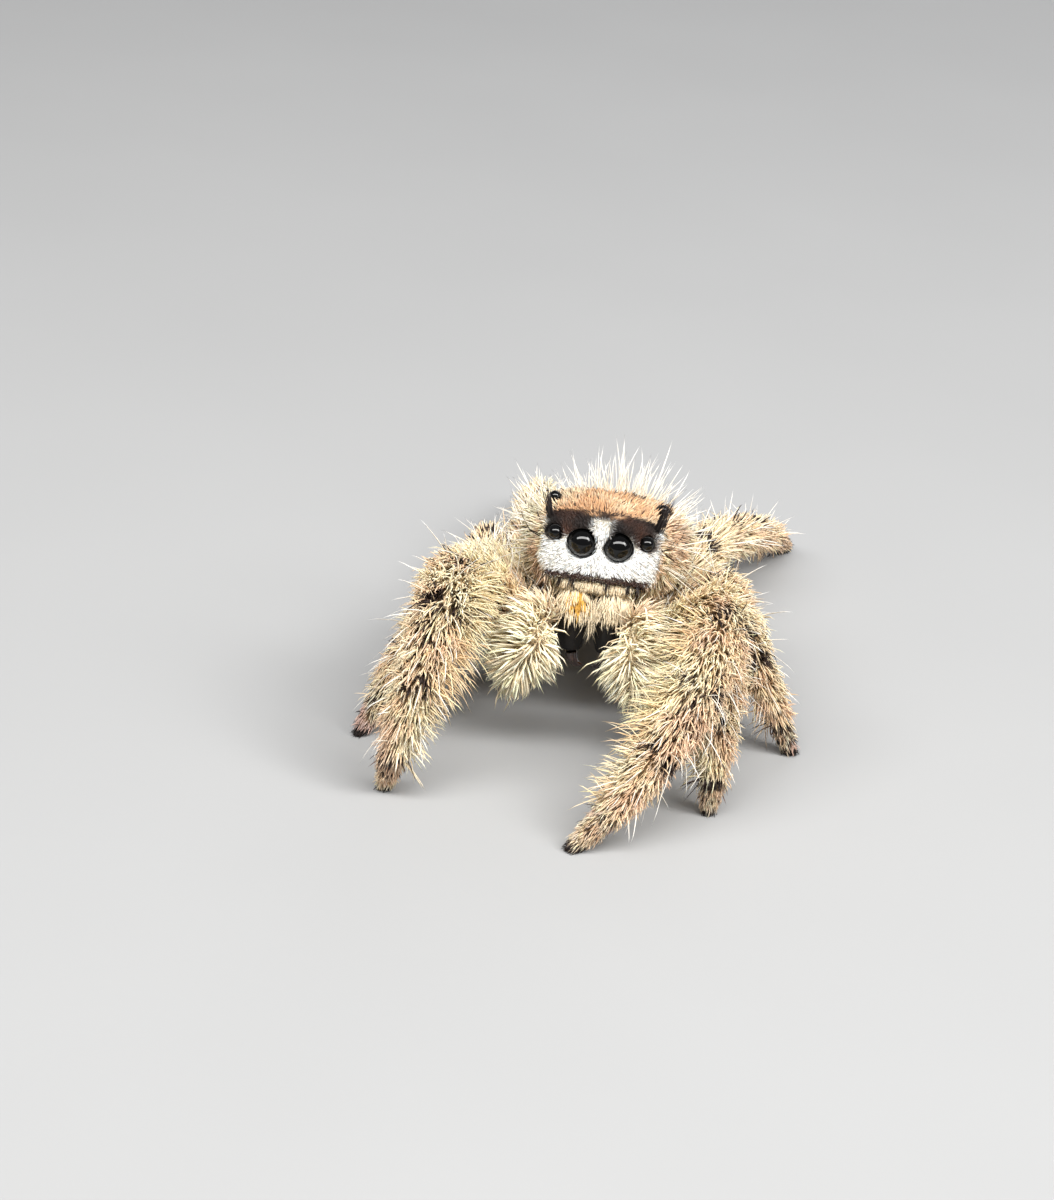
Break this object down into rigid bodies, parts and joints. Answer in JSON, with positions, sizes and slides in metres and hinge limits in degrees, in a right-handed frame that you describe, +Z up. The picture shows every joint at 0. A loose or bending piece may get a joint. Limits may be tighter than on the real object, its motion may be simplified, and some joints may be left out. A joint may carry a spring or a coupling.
{
  "type": "jumping spider",
  "caption": "Still, life-size model of a furry cream and tan jumping spider with a white face and large black front eyes, front raised, standing on its feet.",
  "frame": {"origin": "on the floor, under the middle of the model's box", "axes": "+Z up, the face looks along -Y, +X is the spider's left side"},
  "size_m": [0.0142, 0.0242, 0.0071],
  "materials": {
    "carapace_coat": "short tan hair, white on the face and cream at the sides",
    "body_coat": "dense cream hair with longer white bristles",
    "leg_coat": "shaggy cream hair with dark brown spots at the joints",
    "foot_coat": "short pinkish tan hair",
    "jaw_shell": "smooth dark shell",
    "eye_lens": "polished black lens"
  },
  "bodies": {
    "root": {"carapace": "carapace_coat", "abdomen": "body_coat", "sternum": "body_coat", "pedicel": "body_coat", "palp_R": "body_coat", "palp_L": "body_coat", "spinnerets": "foot_coat", "leg_R1_femur": "leg_coat", "leg_R1_patella": "leg_coat", "leg_R1_tibia": "leg_coat", "leg_R1_metatarsus": "leg_coat", "leg_R1_tarsus": "foot_coat", "leg_R2_femur": "leg_coat", "leg_R2_patella": "leg_coat", "leg_R2_tibia": "leg_coat", "leg_R2_metatarsus": "leg_coat", "leg_R2_tarsus": "foot_coat", "leg_R3_femur": "leg_coat", "leg_R3_patella": "leg_coat", "leg_R3_tibia": "leg_coat", "leg_R3_metatarsus": "leg_coat", "leg_R3_tarsus": "foot_coat", "leg_R4_femur": "leg_coat", "leg_R4_patella": "leg_coat", "leg_R4_tibia": "leg_coat", "leg_R4_metatarsus": "leg_coat", "leg_R4_tarsus": "foot_coat", "leg_L1_femur": "leg_coat", "leg_L1_patella": "leg_coat", "leg_L1_tibia": "leg_coat", "leg_L1_metatarsus": "leg_coat", "leg_L1_tarsus": "foot_coat", "leg_L2_femur": "leg_coat", "leg_L2_patella": "leg_coat", "leg_L2_tibia": "leg_coat", "leg_L2_metatarsus": "leg_coat", "leg_L2_tarsus": "foot_coat", "leg_L3_femur": "leg_coat", "leg_L3_patella": "leg_coat", "leg_L3_tibia": "leg_coat", "leg_L3_metatarsus": "leg_coat", "leg_L3_tarsus": "foot_coat", "leg_L4_femur": "leg_coat", "leg_L4_patella": "leg_coat", "leg_L4_tibia": "leg_coat", "leg_L4_metatarsus": "leg_coat", "leg_L4_tarsus": "foot_coat", "chelicera_R": "jaw_shell", "chelicera_L": "jaw_shell", "fang_R": "jaw_shell", "fang_L": "jaw_shell", "eye_front_middle_R": "eye_lens", "eye_front_middle_L": "eye_lens", "eye_front_side_R": "eye_lens", "eye_front_side_L": "eye_lens", "eye_rear_middle_R": "eye_lens", "eye_rear_middle_L": "eye_lens", "eye_rear_side_R": "eye_lens", "eye_rear_side_L": "eye_lens"}
  },
  "joints": []
}
